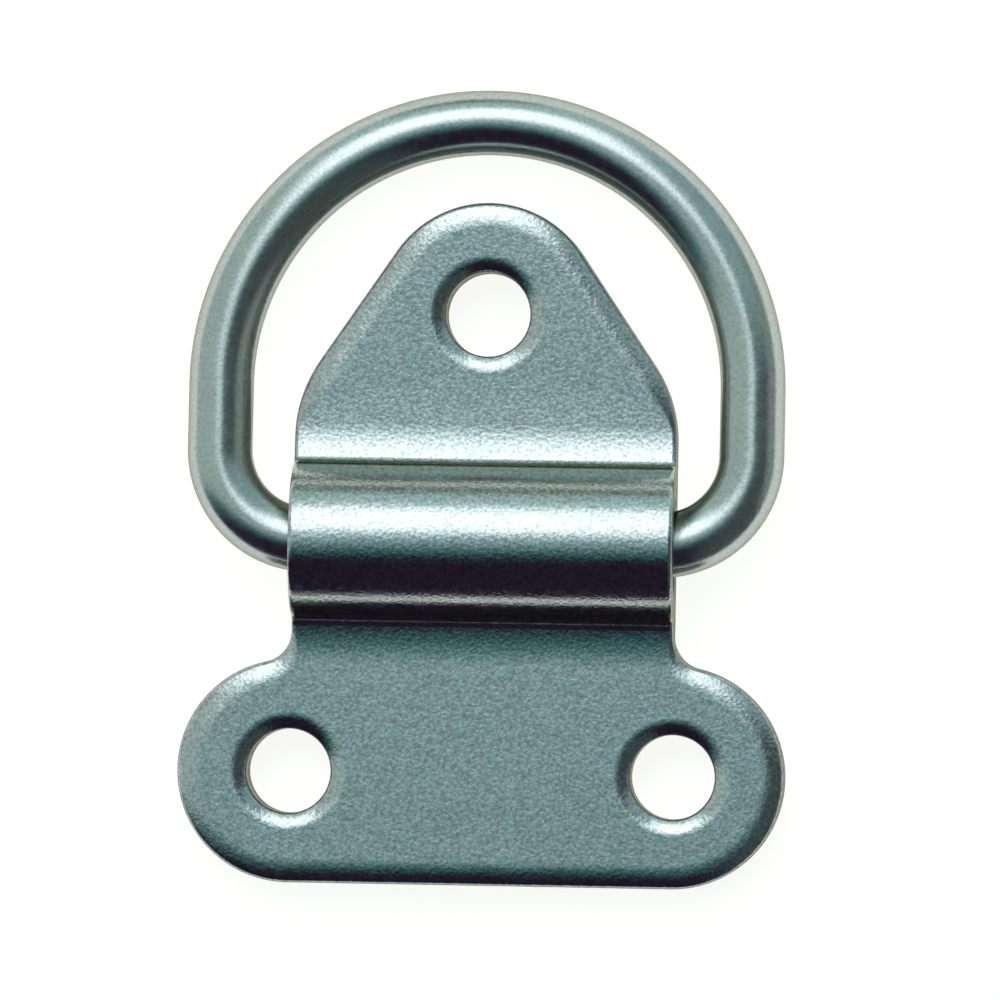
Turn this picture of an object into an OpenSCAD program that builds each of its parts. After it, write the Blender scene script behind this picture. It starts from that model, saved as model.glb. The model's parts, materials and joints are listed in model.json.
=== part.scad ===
// Folding pad eye: a stamped cover plate with a rolled barrel, a flat backing plate under it,
// and a closed D ring whose straight side turns in the barrel.
// The deck plane is z = 0, +Z points away from the deck, and +Y points to the single-hole end.
// The hinge line of the ring runs along X, above the origin.

/* [Sheets] */
// Thickness of the stamped cover plate
cover_t = 2.5; // [2.3:0.1:2.8]
// Thickness of the flat backing plate
backing_t = 2.0; // [1.6:0.1:2.4]
// Width of the strap between the two ends
strap_w = 29.4; // [28.8:0.2:30]

/* [Screw lobes] */
// Bore of each screw hole, for an M6 screw
hole_d = 6.5; // [5.5:0.1:6.6]
// Radius of the lobe around each screw hole
lobe_r = 8.6; // [8.2:0.1:9]
// Distance of the upper screw hole from the hinge line
head_y = 17.6; // [17:0.2:19]
// Distance of the lower screw holes from the hinge line
foot_y = 17.8; // [17.6:0.2:19]
// Distance of each lower screw hole from the middle
foot_x = 14.8; // [14.4:0.1:15.2]
// Radius of each shoulder between the strap and the upper end
shoulder_r = 10.5; // [9.5:0.5:11]
// Height of the shoulder's centre above the hinge line
shoulder_y = 8.0; // [7.6:0.1:8.4]
// Radius of the notch between the strap and each lower lobe
waist_r = 2.4; // [2.2:0.1:2.5]

/* [Edges] */
// Radius around the mouth of each hole in the cover plate
rim_r = 0.6; // [0.3:0.1:0.8]

/* [Barrel] */
// Outer radius of the barrel over the ring's bar
barrel_r = 6.0; // [5.8:0.1:6.2]
// Radius of the bend at each foot of the barrel
root_r = 0.9; // [0.7:0.1:1.2]
// Radius of the shallow bend where the strap starts to rise towards the barrel
apron_r = 14; // [12:1:18]
// Length of that rising part on each side of the barrel
apron_len = 2.9; // [2:0.1:3.2]

/* [Ring] */
// Diameter of the ring's bar
bar_d = 5.0; // [4.6:0.1:5.2]
// Half the length of the flat part of the hinge side
hinge_half = 13.5; // [13:0.25:13.75]
// Bend radius of the two corners beside the hinge side
corner_r = 7.0; // [6.5:0.5:7.5]
// Length of each straight side above its corner
side_len = 5.0; // [3:0.5:8]
// Gap between the hinge bar and the backing plate
bar_gap = 0.1; // [0.05:0.05:0.2]
// Gap between the far end of the ring and the deck
deck_gap = 0.05; // [0.05:0.05:0.2]

/* [Hidden] */
$fn = 96;

strap_half = strap_w / 2;
// Curves that touch overlap by this much, so that they meet at a clean crossing.
cross = 0.004;
// Each cutter runs past the faces that it cuts by this much.
past = 1;
// Width of the sheet before it is trimmed to the outline
blank_w = 60;

// Barrel: its centre is level with the top face of the cover plate. Each side of it turns
// outwards through a tight root bend, then runs out to the flat along a shallow apron bend.
apron_slope = asin(apron_len / apron_r);
apron_rise = apron_r * (1 - cos(apron_slope));
bend_a = acos((apron_rise + root_r * cos(apron_slope)) / (barrel_r + root_r));
root_c = [(barrel_r + root_r) * sin(bend_a), cover_t + (barrel_r + root_r) * cos(bend_a)];
apron_c = [root_c.x + (apron_r - root_r) * sin(apron_slope), cover_t + apron_r];

// Shoulder: the straight slant touches the upper lobe and the shoulder arc.
shoulder_x = strap_half - shoulder_r;
shoulder_gap = norm([shoulder_x, head_y - shoulder_y]);
slant_a = acos((lobe_r - shoulder_r) / shoulder_gap) - atan2(head_y - shoulder_y, shoulder_x);
slant_dir = [cos(slant_a), sin(slant_a)];
slant_top = [0, head_y] + (lobe_r - cross) * slant_dir;
slant_end = [shoulder_x, shoulder_y] + (shoulder_r - cross) * slant_dir;

// Waist: the notch touches the side of the strap and the lower lobe.
waist_x = strap_half + waist_r;
waist_rise = sqrt(pow(lobe_r + waist_r - cross, 2) - pow(waist_x - foot_x, 2));
waist_y = waist_rise - foot_y;

// Ring: its far end leans down to the deck while the hinge side rides on the backing plate.
bar_r = bar_d / 2;
bar_z = backing_t + bar_r + bar_gap;
ring_half = hinge_half + corner_r;
arch_y = corner_r + side_len;
ring_lean = asin((bar_z - bar_r - deck_gap) / (arch_y + ring_half));

plate_color = [0.60, 0.64, 0.64];
back_color = [0.50, 0.54, 0.55];
ring_color = [0.74, 0.77, 0.78];

module both_sides() {
    children();
    mirror([1, 0, 0])
        children();
}

// Plan shape that both sheets share.
module outline() {
    translate([0, head_y])
        circle(r = lobe_r);
    translate([-strap_half, waist_y])
        square([strap_w, shoulder_y - waist_y]);
    translate([-foot_x, -foot_y - lobe_r])
        square([2 * foot_x, lobe_r]);
    both_sides() {
        translate([shoulder_x, shoulder_y])
            circle(r = shoulder_r);
        polygon([[0, shoulder_y], [shoulder_x, shoulder_y], slant_end, slant_top, [0, head_y]]);
        translate([foot_x, -foot_y])
            circle(r = lobe_r);
        difference() {
            polygon([[0, -foot_y], [foot_x, -foot_y], [waist_x, waist_y], [0, waist_y]]);
            translate([waist_x, waist_y])
                circle(r = waist_r);
        }
    }
}

// Side view of everything under the formed sheet's surface, at a depth below its top face.
module under(depth) {
    low = -8;
    far = blank_w / 2;
    flat_z = cover_t - depth;
    // The apron bend meets the flat a little deep on the top face and a little high underneath.
    meet = depth > 0 ? -cross : cross;
    // Foot of the line through the centres of the root bend and the apron bend
    heel = [root_c.x - (root_c.y - low) * tan(apron_slope), low];
    translate([0, cover_t])
        circle(r = barrel_r - depth);
    difference() {
        polygon([[-far, low], [far, low], [far, flat_z], [apron_c.x, flat_z], [apron_c.x, root_c.y],
            root_c, [0, cover_t], [-root_c.x, root_c.y], [-apron_c.x, root_c.y],
            [-apron_c.x, flat_z], [-far, flat_z]]);
        for (side = [-1, 1]) {
            translate([side * root_c.x, root_c.y])
                circle(r = root_r + 2 * cross + depth);
            intersection() {
                translate([side * apron_c.x, apron_c.y])
                    circle(r = apron_r + meet + depth);
                polygon([[side * heel.x, low], [side * far, low], [side * far, root_c.y],
                    [side * root_c.x, root_c.y]]);
            }
        }
    }
}

// The stamped sheet before trimming: flat ends with the barrel across the middle.
module formed_sheet() {
    rotate([90, 0, 90])
        linear_extrude(blank_w, center = true)
            difference() {
                under(0);
                under(cover_t);
            }
}

module at_screws() {
    translate([0, head_y, 0])
        children();
    for (side = [-1, 1])
        translate([side * foot_x, -foot_y, 0])
            children();
}

// Screw hole cutter with a rounded mouth at the top face.
module mouth_cutter() {
    translate([0, 0, -past])
        cylinder(d = hole_d, h = cover_t + 2 * past);
    rotate_extrude()
        difference() {
            translate([0, cover_t - rim_r])
                square([hole_d / 2 + rim_r, rim_r + past]);
            translate([hole_d / 2 + rim_r, cover_t - rim_r])
                circle(r = rim_r);
        }
}

module cover_plate() {
    color(plate_color)
        translate([0, 0, backing_t])
            difference() {
                intersection() {
                    formed_sheet();
                    linear_extrude(blank_w, center = true)
                        outline();
                }
                at_screws()
                    mouth_cutter();
            }
}

module backing_plate() {
    color(back_color)
        difference() {
            linear_extrude(backing_t)
                outline();
            at_screws()
                translate([0, 0, -past])
                    cylinder(d = hole_d, h = backing_t + 2 * past);
        }
}

// Round bar bent around a centre in the ring's own plane.
module bar_bend(centre, r, from, to) {
    translate([centre.x, centre.y, 0])
        rotate([0, 0, from])
            rotate_extrude(angle = to - from)
                translate([r, 0])
                    circle(d = bar_d);
}

module ring_bar() {
    translate([-hinge_half, 0, 0])
        rotate([0, 90, 0])
            cylinder(d = bar_d, h = 2 * hinge_half);
    both_sides() {
        bar_bend([hinge_half, corner_r], corner_r, -90, 0);
        translate([ring_half, corner_r, 0])
            rotate([-90, 0, 0])
                cylinder(d = bar_d, h = side_len);
    }
    bar_bend([0, arch_y], ring_half, 0, 180);
}

module d_ring() {
    color(ring_color)
        translate([0, 0, bar_z])
            rotate([-ring_lean, 0, 0])
                ring_bar();
}

cover_plate();
backing_plate();
d_ring();
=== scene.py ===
# Looks of the folding pad eye. Lengths in the shape functions are millimetres in the CAD frame.
import json
import math

import bpy
from mathutils import Matrix, Vector
from mathutils.geometry import delaunay_2d_cdt


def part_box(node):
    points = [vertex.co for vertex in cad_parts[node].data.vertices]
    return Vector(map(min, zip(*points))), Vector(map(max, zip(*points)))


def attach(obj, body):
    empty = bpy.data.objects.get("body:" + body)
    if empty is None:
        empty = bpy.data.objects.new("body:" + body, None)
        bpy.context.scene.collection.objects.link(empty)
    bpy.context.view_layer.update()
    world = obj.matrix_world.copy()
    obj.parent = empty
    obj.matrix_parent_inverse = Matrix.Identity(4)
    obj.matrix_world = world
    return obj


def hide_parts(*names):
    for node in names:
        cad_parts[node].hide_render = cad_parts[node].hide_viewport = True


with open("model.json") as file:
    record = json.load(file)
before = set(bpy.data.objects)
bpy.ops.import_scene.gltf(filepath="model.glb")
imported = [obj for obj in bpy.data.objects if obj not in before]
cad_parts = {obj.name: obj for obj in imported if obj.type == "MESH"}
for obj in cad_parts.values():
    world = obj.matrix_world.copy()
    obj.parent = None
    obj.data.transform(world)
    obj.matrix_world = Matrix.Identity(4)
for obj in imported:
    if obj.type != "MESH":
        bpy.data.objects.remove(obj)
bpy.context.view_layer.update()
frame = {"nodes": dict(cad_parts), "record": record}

MM = 0.001
mounts = {m["name"]: m for m in frame["record"]["mounts"]}

# ---------------------------------------------------------------- sizes, from the frame
cover_top = Vector(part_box("cover_plate")[1]) / MM
SCREWS = ("head_screw", "foot_screw_left", "foot_screw_right")
HOLES = [tuple(c / MM for c in mounts[n]["pos_m"][:2]) for n in SCREWS]
HOLE_R = mounts["head_screw"]["dims"]["r_mm"]
HEAD_Y = HOLES[0][1]
FOOT_X, FOOT_Y = HOLES[2]
LOBE_R = cover_top.x - FOOT_X
BACK_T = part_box("backing_plate")[1][2] / MM
COVER_T = 2.5
STRAP_HALF = 14.7
SHOULDER_R = 10.5
SHOULDER_Y = 8.0
WAIST_R = 2.4
BARREL_R = cover_top.z - BACK_T - COVER_T
ROOT_R = 0.9
APRON_R = 14.0
APRON_LEN = 2.9

# The stamped roll of the edges starts past the strap: where it begins, and how far it takes to grow
ROLL_UP = (8.5, 4.5)
ROLL_DOWN = (7.0, 3.0)

# Mesh steps: degrees on the outline's arcs, and segments across the bends, the strap and the edges
ARC_STEP = 3.0
WAIST_STEP = 6.0
BARREL_SEGMENTS = 24
ROOT_SEGMENTS = 14
APRON_SEGMENTS = 8
STRAP_SEGMENTS = 12
BURR_SEGMENTS = 3
NOSE_SEGMENTS = 6
ROLL_SEGMENTS = 8
HOLE_SEGMENTS = 96
MARK_GAP = 0.02
CRISP_MARGIN = 0.4

# The outward part of an edge's normal at which it counts as sheared, and the span over which it does
SHEAR_START = 0.72
SHEAR_SPAN = 0.22

APRON_A = math.asin(APRON_LEN / APRON_R)
APRON_RISE = APRON_R * (1 - math.cos(APRON_A))
BARREL_A = math.acos((APRON_RISE + ROOT_R * math.cos(APRON_A)) / (BARREL_R + ROOT_R))
ROOT_C = ((BARREL_R + ROOT_R) * math.sin(BARREL_A), COVER_T + (BARREL_R + ROOT_R) * math.cos(BARREL_A))
APRON_C = (ROOT_C[0] + (APRON_R - ROOT_R) * math.sin(APRON_A), COVER_T + APRON_R)
BARREL_LEN = BARREL_R * BARREL_A
ROOT_LEN = ROOT_R * (BARREL_A - APRON_A)
BENT_LEN = BARREL_LEN + ROOT_LEN + APRON_R * APRON_A


# ---------------------------------------------------------------- the formed sheet
def slope_at(u):
    """Place in the side view and slope of the top face, at a distance u >= 0 along it from the crown."""
    if u <= BARREL_LEN:
        a = u / BARREL_R
        return (BARREL_R * math.sin(a), COVER_T + BARREL_R * math.cos(a)), a
    if u <= BARREL_LEN + ROOT_LEN:
        a = BARREL_A - (u - BARREL_LEN) / ROOT_R
        return (ROOT_C[0] - ROOT_R * math.sin(a), ROOT_C[1] - ROOT_R * math.cos(a)), a
    if u <= BENT_LEN:
        a = APRON_A - (u - BARREL_LEN - ROOT_LEN) / APRON_R
        return (APRON_C[0] - APRON_R * math.sin(a), APRON_C[1] - APRON_R * math.cos(a)), a
    return (APRON_C[0] + u - BENT_LEN, COVER_T), 0.0


def along(y):
    """Distance along the top face to a plan position on the apron or the flat."""
    side = 1 if y > 0 else -1
    y = abs(y)
    if y >= APRON_C[0]:
        return side * (BENT_LEN + y - APRON_C[0])
    a = math.asin((APRON_C[0] - y) / APRON_R)
    return side * (BARREL_LEN + ROOT_LEN + APRON_R * (APRON_A - a))


def bent(x, v, h, n, base):
    """Place and normal of a point of the flat blank after forming."""
    side = 1 if v >= 0 else -1
    (y, z), a = slope_at(abs(v))
    s, c = side * math.sin(a), math.cos(a)
    y *= side
    place = (x, y + s * (h - COVER_T), base + z + c * (h - COVER_T))
    normal = (n[0], n[1] * c + n[2] * s, -n[1] * s + n[2] * c)
    return place, normal


def flat(x, v, h, n, base):
    return (x, v, base + h), n


def arc(cx, cy, r, a0, a1, step, inward=False):
    """Points of an arc with their outward normals, without the last one."""
    count = max(2, round(abs(a1 - a0) / step))
    out = []
    for i in range(count):
        a = math.radians(a0 + (a1 - a0) * i / count)
        c, s = math.cos(a), math.sin(a)
        out.append((cx + r * c, cy + r * s, -c if inward else c, -s if inward else s))
    return out


def line(x0, y0, x1, y1, n, count):
    return [(x0 + (x1 - x0) * i / count, y0 + (y1 - y0) * i / count, n[0], n[1]) for i in range(count)]


def outline(formed):
    """Closed outline of a blank, anticlockwise: x, distance along the sheet, and the outward normal."""
    sx = STRAP_HALF - SHOULDER_R
    gap = math.hypot(sx, HEAD_Y - SHOULDER_Y)
    slant = math.acos((LOBE_R - SHOULDER_R) / gap) - math.atan2(HEAD_Y - SHOULDER_Y, sx)
    sn = (math.cos(slant), math.sin(slant))
    deg = math.degrees(slant)
    wx = STRAP_HALF + WAIST_R
    rise = math.sqrt((LOBE_R + WAIST_R) ** 2 - (wx - FOOT_X) ** 2)
    wy = FOOT_Y + rise
    wa = math.degrees(math.atan2(rise, wx - FOOT_X))
    right = line(0, FOOT_Y - LOBE_R, FOOT_X, FOOT_Y - LOBE_R, (0, -1), 1)
    right += arc(FOOT_X, FOOT_Y, LOBE_R, -90, wa, ARC_STEP)
    right += arc(wx, wy, WAIST_R, 180 + wa, 180, WAIST_STEP, inward=True)
    if formed:
        right = [(x, along(y), nx, ny) for x, y, nx, ny in right]
        low, high = along(wy), along(SHOULDER_Y)
        right += [(STRAP_HALF, v, 1, 0) for v in stations(low, high)]
    else:
        right += line(STRAP_HALF, wy, STRAP_HALF, SHOULDER_Y, (1, 0), STRAP_SEGMENTS)
    top = arc(sx, SHOULDER_Y, SHOULDER_R, 0, deg, ARC_STEP)
    slant_end = (sx + SHOULDER_R * sn[0], SHOULDER_Y + SHOULDER_R * sn[1])
    top += line(*slant_end, LOBE_R * sn[0], HEAD_Y + LOBE_R * sn[1], sn, 1)
    top += arc(0, HEAD_Y, LOBE_R, deg, 90, ARC_STEP)
    top.append((0, HEAD_Y + LOBE_R, 0, 1))
    if formed:
        top = [(x, along(y), nx, ny) for x, y, nx, ny in top]
    right += top
    left = [(-x, v, -nx, nv) for x, v, nx, nv in reversed(right[1:-1])]
    return right + left


def stations(low, high):
    """Distances along the sheet at which the bent strap needs an edge across it."""
    marks = set()
    for side in (-1, 1):
        for i in range(BARREL_SEGMENTS + 1):
            marks.add(side * BARREL_LEN * i / BARREL_SEGMENTS)
        for i in range(1, ROOT_SEGMENTS + 1):
            marks.add(side * (BARREL_LEN + ROOT_LEN * i / ROOT_SEGMENTS))
        for i in range(1, APRON_SEGMENTS + 1):
            marks.add(side * (BARREL_LEN + ROOT_LEN + APRON_R * APRON_A * i / APRON_SEGMENTS))
    return sorted([low] + [m for m in marks if low + MARK_GAP < m < high - MARK_GAP])


def edge_profile(t, roll_r, roll_a, nose_r, burr_r):
    """Depth, height and normal from the underside, round the cut edge, to where the top face is flat."""
    a = math.radians(roll_a)
    width = (roll_r - nose_r) * math.sin(a) + nose_r
    nose_h = t - roll_r + (roll_r - nose_r) * math.cos(a)
    out = []
    for i in range(BURR_SEGMENTS + 1):
        b = math.radians(-90 + 90 * i / BURR_SEGMENTS)
        out.append((burr_r - burr_r * math.cos(b), burr_r + burr_r * math.sin(b), math.cos(b), math.sin(b)))
    for i in range(NOSE_SEGMENTS + 1):
        b = (math.pi / 2 - a) * i / NOSE_SEGMENTS
        out.append((nose_r - nose_r * math.cos(b), nose_h + nose_r * math.sin(b), math.cos(b), math.sin(b)))
    for i in range(1, ROLL_SEGMENTS + 1):
        b = a * (1 - i / ROLL_SEGMENTS)
        out.append((width - roll_r * math.sin(b), t - roll_r * (1 - math.cos(b)), math.sin(b), math.cos(b)))
    return out


def inside(loop, x, y):
    """Whether a point lies within a closed loop of plan points."""
    hit = False
    for (x0, y0), (x1, y1) in zip(loop, loop[1:] + loop[:1]):
        if (y0 > y) != (y1 > y) and x < x0 + (x1 - x0) * (y - y0) / (y1 - y0):
            hit = not hit
    return hit


def rolled(y):
    """How far the stamped roll has grown at a place along the plan: none on the strap, full on the lobes."""
    start, span = ROLL_UP if y > 0 else ROLL_DOWN
    f = min(1.0, max(0.0, (abs(y) - start) / span))
    return f * f * (3 - 2 * f)


def plate(name, t, base, formed, edge, crisp, rim):
    """A stamped sheet as one closed mesh: rolled outline, holes with rolled mouths, and two faces."""
    place = bent if formed else flat
    outer = outline(formed)
    verts, normals, faces, sheared = [], [], [], []

    def add(x, v, h, n, out=0.0):
        p, m = place(x, v, h, n, base)
        verts.append(tuple(c * MM for c in p))
        normals.append(m)
        sheared.append(min(1.0, max(0.0, (out - SHEAR_START) / SHEAR_SPAN)))
        return len(verts) - 1

    def edge_rows():
        """Rows of the outer edge, each as vertex numbers and plan points: crisp on the strap, else rolled."""
        shift = BENT_LEN - APRON_C[0] if formed else 0.0
        rows = []
        for full, small in zip(edge, crisp):
            ids, plan = [], []
            for x, v, nx, nv in outer:
                k = rolled(math.copysign(max(0.0, abs(v) - shift), v))
                depth, h, out, up = (b + (a - b) * k for a, b in zip(full, small))
                size = math.hypot(out, up)
                normal = (nx * out / size, nv * out / size, up / size)
                ids.append(add(x - nx * depth, v - nv * depth, h, normal, out))
                plan.append((x - nx * depth, v - nv * depth))
            rows.append((ids, plan))
        return rows

    def hole_rows(hx, hv):
        """Rows of one hole's wall, each as vertex numbers and plan points."""
        turns = [-2 * math.pi * i / HOLE_SEGMENTS for i in range(HOLE_SEGMENTS)]
        ring = [(math.cos(a), math.sin(a)) for a in turns]
        rows = []
        for depth, h, out, up in rim:
            r = HOLE_R + depth
            plan = [(hx + c * r, hv + s * r) for c, s in ring]
            ids = [add(x, v, h, (-c * out, -s * out, up), out) for (x, v), (c, s) in zip(plan, ring)]
            rows.append((ids, plan))
        return rows

    def band(rows):
        """Faces between each row and the next."""
        for (a, _), (b, _) in zip(rows, rows[1:]):
            n = len(a)
            faces.extend((a[i], a[(i + 1) % n], b[(i + 1) % n], b[i]) for i in range(n))

    def bend_lines(border, points, ids, h, up):
        """Edges across the strap, so that the triangles follow the bends."""
        found = {}
        for i, (x, v) in enumerate(border):
            found.setdefault((round(v, 6), x > 0), i)
        edges = []
        for v in stations(-BENT_LEN - MARK_GAP / 2, BENT_LEN + MARK_GAP / 2):
            a, b = found.get((round(v, 6), False)), found.get((round(v, 6), True))
            if a is None or b is None:
                reach = STRAP_HALF - crisp[-1][0] - CRISP_MARGIN
                for x in (-reach, reach):
                    points.append((x, v))
                    ids.append(add(x, v, h, (0, 0, up)))
                a, b = len(points) - 2, len(points) - 1
            edges.append((a, b))
        return edges

    def fill(loops, h, up):
        """One face of the sheet between its border, the first loop, and its holes."""
        points, ids, edges = [], [], []
        for row, plan in loops:
            start = len(points)
            points += plan
            ids += row
            edges += [(start + i, start + (i + 1) % len(row)) for i in range(len(row))]
        border, *holes = (plan for _, plan in loops)
        if formed:
            edges += bend_lines(border, points, ids, h, up)
        made, _, tris, origin, _, _ = delaunay_2d_cdt([Vector(p) for p in points], edges, [], 0, 1e-7)
        keep = [ids[o[0]] if o else add(p.x, p.y, h, (0, 0, up)) for p, o in zip(made, origin)]
        for tri in tris:
            cx = sum(made[i].x for i in tri) / 3
            cy = sum(made[i].y for i in tri) / 3
            if inside(border, cx, cy) and not any(inside(hole, cx, cy) for hole in holes):
                ring = [keep[i] for i in tri]
                faces.append(tuple(ring if up > 0 else reversed(ring)))

    walls = [edge_rows()]
    band(walls[0])
    for hx, hy in HOLES:
        walls.append(hole_rows(hx, along(hy) if formed else hy))
        band(walls[-1])
    fill([rows[0] for rows in walls], 0.0, -1)
    fill([rows[-1] for rows in walls], t, 1)

    mesh = bpy.data.meshes.new(name)
    mesh.from_pydata(verts, [], faces)
    mesh.polygons.foreach_set("use_smooth", [True] * len(mesh.polygons))
    mesh.normals_split_custom_set_from_vertices(normals)
    mesh.attributes.new("sheared", "FLOAT", "POINT").data.foreach_set("value", sheared)
    mesh.update()
    obj = bpy.data.objects.new(name, mesh)
    bpy.context.collection.objects.link(obj)
    return obj


# ---------------------------------------------------------------- materials
FINE_GRAIN = 3700               # noise scales, in cycles to a metre
MID_GRAIN = 1500
SLOW_WAVE = 130
STREAK_GRAIN = 3800
STREAK_SQUASH = 0.12            # the streaks run down the sheared faces
SHEARED_DULL = 0.22             # roughness that a sheared face adds
TAN = (0.80, 0.76, 0.62)
TAN_DEEP = (0.55, 0.51, 0.40)


def steel(name, color, rough, grain, wave, fleck, edge_tint):
    """Tumbled stainless steel: fine grain in height, tint and gloss, slow waves, and dull sheared faces."""
    mat = bpy.data.materials.new(name)
    mat.use_nodes = True
    nodes, links = mat.node_tree.nodes, mat.node_tree.links
    nodes.clear()
    surface = nodes.new("ShaderNodeBsdfPrincipled")
    links.new(surface.outputs[0], nodes.new("ShaderNodeOutputMaterial").inputs[0])
    surface.inputs["Metallic"].default_value = 1.0
    surface.inputs["Specular Tint"].default_value = (*edge_tint, 1)
    coord = nodes.new("ShaderNodeTexCoord").outputs["Object"]

    def noise(where, scale, detail, roughness=0.5):
        node = nodes.new("ShaderNodeTexNoise")
        node.inputs["Scale"].default_value = scale
        node.inputs["Detail"].default_value = detail
        node.inputs["Roughness"].default_value = roughness
        links.new(where, node.inputs["Vector"])
        return node.outputs["Fac"]

    def ramp(source, first, last, middle=None):
        """Colours over a source value; each stop is its position and colour."""
        node = nodes.new("ShaderNodeValToRGB")
        stops = node.color_ramp.elements
        for stop, (position, shade) in zip(stops, (first, last)):
            stop.position = position
            stop.color = (*shade, 1)
        if middle:
            stops.new(middle[0]).color = (*middle[1], 1)
        links.new(source, node.inputs["Fac"])
        return node.outputs["Color"]

    def multiply(a, b, amount=None):
        node = nodes.new("ShaderNodeMix")
        node.data_type = "RGBA"
        node.blend_type = "MULTIPLY"
        node.inputs[0].default_value = 1.0
        if amount:
            links.new(amount, node.inputs[0])
        links.new(a, node.inputs[6])
        links.new(b, node.inputs[7])
        return node.outputs[2]

    def bump(height, distance, normal=None):
        node = nodes.new("ShaderNodeBump")
        node.inputs["Strength"].default_value = 1.0
        node.inputs["Distance"].default_value = distance
        links.new(height, node.inputs["Height"])
        if normal:
            links.new(normal, node.inputs["Normal"])
        return node.outputs["Normal"]

    fine = noise(coord, FINE_GRAIN, 3.0, 0.55)
    mid = noise(coord, MID_GRAIN, 2.0)
    slow = noise(coord, SLOW_WAVE, 1.0)

    darker = tuple(c * (1 - fleck) for c in color)
    lighter = tuple(min(1, c * (1 + fleck)) for c in color)
    tint = ramp(fine, (0.30, darker), (0.74, lighter), middle=(0.5, color))
    cloud = ramp(mid, (0.35, (0.93, 0.96, 0.94)), (0.65, (1.0, 0.985, 1.0)))

    # The sheared faces of the sheet are dull and dark, with broken streaks down them
    attribute = nodes.new("ShaderNodeAttribute")
    attribute.attribute_name = "sheared"
    sheared = attribute.outputs["Fac"]
    squash = nodes.new("ShaderNodeVectorMath")
    squash.operation = "MULTIPLY"
    squash.inputs[1].default_value = (1.0, 1.0, STREAK_SQUASH)
    links.new(coord, squash.inputs[0])
    drag = noise(squash.outputs["Vector"], STREAK_GRAIN, 2.0)
    streak = ramp(drag, (0.3, (0.24, 0.23, 0.20)), (0.7, (0.50, 0.49, 0.44)))
    links.new(multiply(multiply(tint, cloud), streak, sheared), surface.inputs["Base Color"])

    gloss = nodes.new("ShaderNodeMapRange")
    spread = (("From Min", 0.3), ("From Max", 0.7), ("To Min", rough - 0.03), ("To Max", rough + 0.04))
    for key, value in spread:
        gloss.inputs[key].default_value = value
    links.new(mid, gloss.inputs["Value"])
    dull = nodes.new("ShaderNodeMath")
    dull.operation = "MULTIPLY_ADD"
    dull.inputs[1].default_value = SHEARED_DULL
    links.new(sheared, dull.inputs[0])
    links.new(gloss.outputs["Result"], dull.inputs[2])
    links.new(dull.outputs[0], surface.inputs["Roughness"])

    links.new(bump(fine, grain, normal=bump(slow, wave)), surface.inputs["Normal"])
    return mat


plate_steel = steel("plate_steel_mat", color=(0.475, 0.525, 0.525), rough=0.15,
                    grain=2.3e-5, wave=8e-6, fleck=0.34, edge_tint=TAN)
backing_steel = steel("backing_steel_mat", color=(0.44, 0.48, 0.475), rough=0.22,
                      grain=2.3e-5, wave=8e-6, fleck=0.34, edge_tint=TAN)
ring_steel = steel("ring_steel_mat", color=(0.48, 0.53, 0.52), rough=0.215,
                   grain=6.0e-6, wave=8e-6, fleck=0.14, edge_tint=TAN_DEEP)


def dress(obj, mat):
    obj.data.materials.clear()
    obj.data.materials.append(mat)


# ---------------------------------------------------------------- pieces
# Each edge: the sheet's thickness, the roll's radius and angle, and the radii of the nose and lower corner
cover_edge = edge_profile(COVER_T, 5.0, 18, 0.5, 0.25)
cover_crisp = edge_profile(COVER_T, 0.6, 25, 0.2, 0.15)
cover_rim = edge_profile(COVER_T, 2.2, 32, 0.35, 0.2)
cover = plate("cover_sheet", COVER_T, BACK_T, True, cover_edge, cover_crisp, cover_rim)
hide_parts("cover_plate")
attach(cover, "plates")
dress(cover, plate_steel)

back_edge = edge_profile(BACK_T, 4.0, 15, 0.4, 0.25)
back_rim = edge_profile(BACK_T, 3.0, 15, 0.3, 0.2)
back_crisp = edge_profile(BACK_T, 0.6, 25, 0.2, 0.15)
backing = plate("backing_sheet", BACK_T, 0.0, False, back_edge, back_crisp, back_rim)
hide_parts("backing_plate")
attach(backing, "plates")
dress(backing, backing_steel)

for slot in frame["nodes"]["d_ring"].material_slots:
    slot.material = ring_steel

# ---------------------------------------------------------------- stage
floor_mesh = bpy.data.meshes.new("floor")
FLOOR_HALF = 1.5
corners = [(-1, -1), (1, -1), (1, 1), (-1, 1)]
floor_mesh.from_pydata([(x * FLOOR_HALF, y * FLOOR_HALF, 0) for x, y in corners], [], [(0, 1, 2, 3)])
floor = bpy.data.objects.new("floor", floor_mesh)
bpy.context.collection.objects.link(floor)
floor.location.z = -0.0001      # just clear of the plates' underside
paper = bpy.data.materials.new("paper")
paper.use_nodes = True
tree = paper.node_tree
matt = tree.nodes["Principled BSDF"]
matt.inputs["Base Color"].default_value = (0.36, 0.36, 0.345, 1)
matt.inputs["Roughness"].default_value = 0.9
matt.inputs["Specular IOR Level"].default_value = 0.1
matt.inputs["Emission Color"].default_value = (1.0, 1.0, 0.97, 1)
# The floor glows around the pad eye and fades slowly outwards; distances in metres
pool = tree.nodes.new("ShaderNodeMapRange")
pool.interpolation_type = "SMOOTHSTEP"
for key, value in (("From Min", 0.055), ("From Max", 0.400), ("To Min", 0.90), ("To Max", 0.52)):
    pool.inputs[key].default_value = value
reach = tree.nodes.new("ShaderNodeVectorMath")
reach.operation = "LENGTH"
where = tree.nodes.new("ShaderNodeTexCoord")
tree.links.new(where.outputs["Object"], reach.inputs[0])
tree.links.new(reach.outputs["Value"], pool.inputs["Value"])
tree.links.new(pool.outputs["Result"], matt.inputs["Emission Strength"])
floor_mesh.materials.append(paper)

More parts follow.
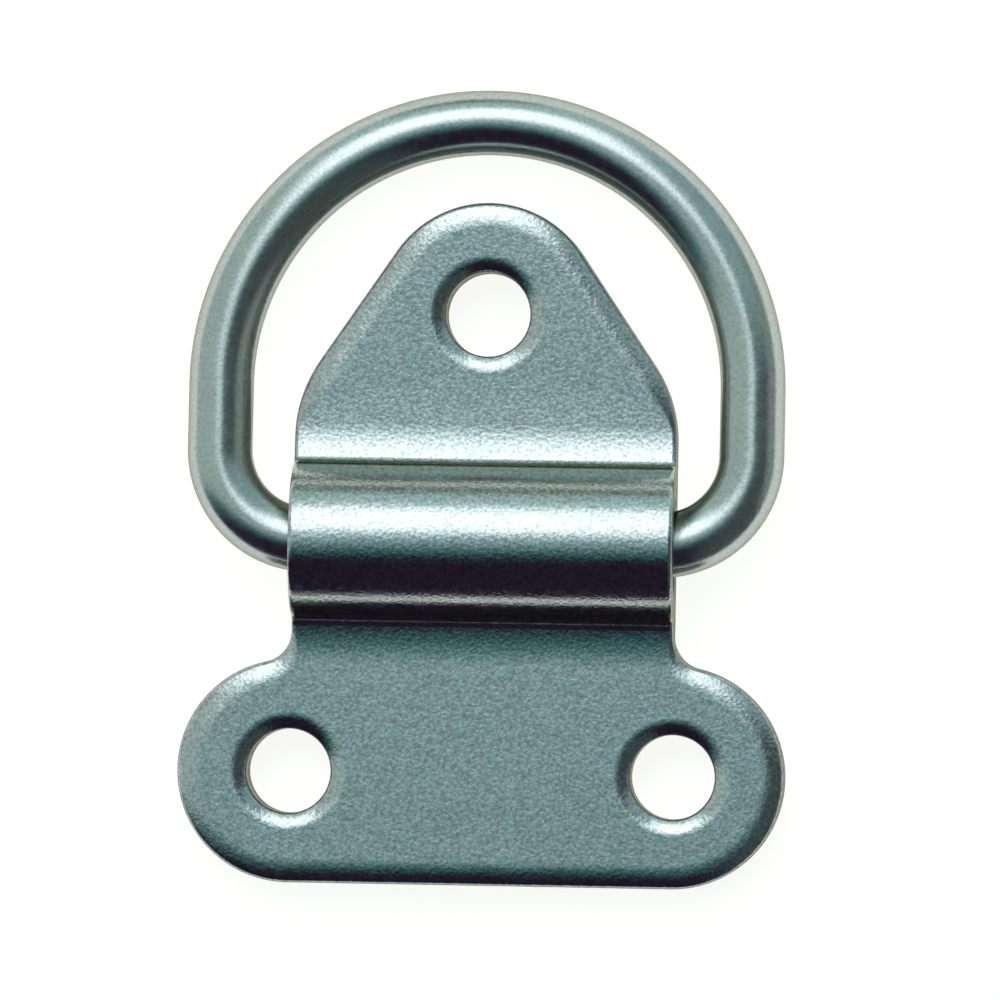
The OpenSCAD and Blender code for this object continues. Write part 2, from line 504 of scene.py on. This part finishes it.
# ---------------------------------------------------------------- light
world = bpy.data.worlds.new("studio")
bpy.context.scene.world = world
world.use_nodes = True
wt = world.node_tree
wt.nodes.clear()
wout = wt.nodes.new("ShaderNodeOutputWorld")
back = wt.nodes.new("ShaderNodeBackground")
wt.links.new(back.outputs[0], wout.inputs[0])
wcoord = wt.nodes.new("ShaderNodeTexCoord")
split = wt.nodes.new("ShaderNodeSeparateXYZ")
wt.links.new(wcoord.outputs["Generated"], split.inputs[0])


def wmath(op, a, b, clamp=False):
    node = wt.nodes.new("ShaderNodeMath")
    node.operation = op
    node.use_clamp = clamp
    for socket, v in zip(node.inputs, (a, b)):
        if isinstance(v, (int, float)):
            socket.default_value = v
        else:
            wt.links.new(v, socket)
    return node.outputs[0]


def step(value, a, b):
    """Smooth step from 0 at a to 1 at b."""
    node = wt.nodes.new("ShaderNodeMapRange")
    node.interpolation_type = "SMOOTHSTEP"
    node.inputs["From Min"].default_value = a
    node.inputs["From Max"].default_value = b
    wt.links.new(value, node.inputs["Value"])
    return node.outputs["Result"]


def wmix(fac, a, b):
    """Mix of two colours by a linked factor."""
    node = wt.nodes.new("ShaderNodeMix")
    node.data_type = "RGBA"
    wt.links.new(fac, node.inputs[0])
    for socket, v in ((node.inputs[6], a), (node.inputs[7], b)):
        if isinstance(v, tuple):
            socket.default_value = (*v, 1)
        else:
            wt.links.new(v, socket)
    return node.outputs[2]


X, Y = split.outputs[:2]
# The window light comes from beyond the ring and a little from the left; the room in front is dark
lean = math.radians(8)
along_y = wmath("SUBTRACT", wmath("MULTIPLY", Y, math.cos(lean)), wmath("MULTIPLY", X, math.sin(lean)))
across = wmath("ADD", wmath("MULTIPLY", X, math.cos(lean)), wmath("MULTIPLY", Y, math.sin(lean)))
room = wmix(step(along_y, -0.41, -0.25), (0.026, 0.015, 0.034), (0.065, 0.185, 0.190))
# Overhead
room = wmix(step(along_y, -0.22, -0.01), room, (0.355, 0.52, 0.53))
# The right side is in shade, up to the window's foot
shade = wmath("MULTIPLY", step(across, 0.08, 0.28), step(along_y, 0.28, 0.08))
room = wmix(shade, room, (0.085, 0.105, 0.105))
# The far right wall, and a paler one on the left
room = wmix(step(across, 0.76, 0.92), room, (0.32, 0.36, 0.34))
glow = wmath("MULTIPLY", step(across, -0.08, -0.34), step(along_y, -0.22, -0.03))
room = wmix(glow, room, (0.56, 0.66, 0.63))
# The wall beyond the window, and a dark line at the horizon
room = wmix(step(along_y, 0.70, 0.88), room, (0.56, 0.76, 0.74))
room = wmix(step(along_y, 0.962, 0.978), room, (0.22, 0.24, 0.18))
# The window: a fan that widens away from overhead, brighter upwards from its foot
fan = wmath("DIVIDE", across, wmath("ADD", along_y, 0.25))
wide = wmath("MULTIPLY", step(fan, -0.54, -0.22), step(fan, 0.52, 0.20))
near = wmath("MULTIPLY", wmath("SUBTRACT", along_y, 0.075), 3.4, clamp=True)
window = wmath("MULTIPLY", wmath("MULTIPLY", near, step(along_y, 0.88, 0.66)), wide)
upper = wmix(window, room, (2.25, 2.4, 2.45))
# The camera itself sees a plain pale backdrop
seen = wt.nodes.new("ShaderNodeLightPath").outputs["Is Camera Ray"]
wt.links.new(wmix(seen, upper, (0.97, 0.97, 0.96)), back.inputs["Color"])
back.inputs["Strength"].default_value = 1.0

# ---------------------------------------------------------------- camera
FRAME_W = 76.92                 # width of the view at the cover plate's top face
LEAN_RIGHT = math.radians(3.2)
LEAN_DOWN = math.radians(1.0)
ROLL = math.radians(1.0)
SENSOR = 36
aim = Vector((1.192, 3.308, BACK_T + COVER_T)) * MM
lean_x, lean_y = math.tan(LEAN_RIGHT), -math.tan(LEAN_DOWN)
distance = 0.75
toward = Vector((lean_x, lean_y, 1)).normalized()
cam_data = bpy.data.cameras.new("camera")
cam = bpy.data.objects.new("camera", cam_data)
bpy.context.collection.objects.link(cam)
side = Vector((0, 1, 0)).cross(toward).normalized()
upward = toward.cross(side)
turn = Matrix.Rotation(ROLL, 3, toward)
side, upward = turn @ side, turn @ upward
cam.matrix_world = Matrix((
    (side.x, upward.x, toward.x, aim.x + toward.x * distance),
    (side.y, upward.y, toward.y, aim.y + toward.y * distance),
    (side.z, upward.z, toward.z, aim.z + toward.z * distance),
    (0, 0, 0, 1)))
cam_data.sensor_width = SENSOR
cam_data.lens = SENSOR * distance / (FRAME_W * MM)
cam_data.clip_start = 0.01
bpy.context.scene.camera = cam
bpy.context.scene.view_settings.view_transform = "Standard"
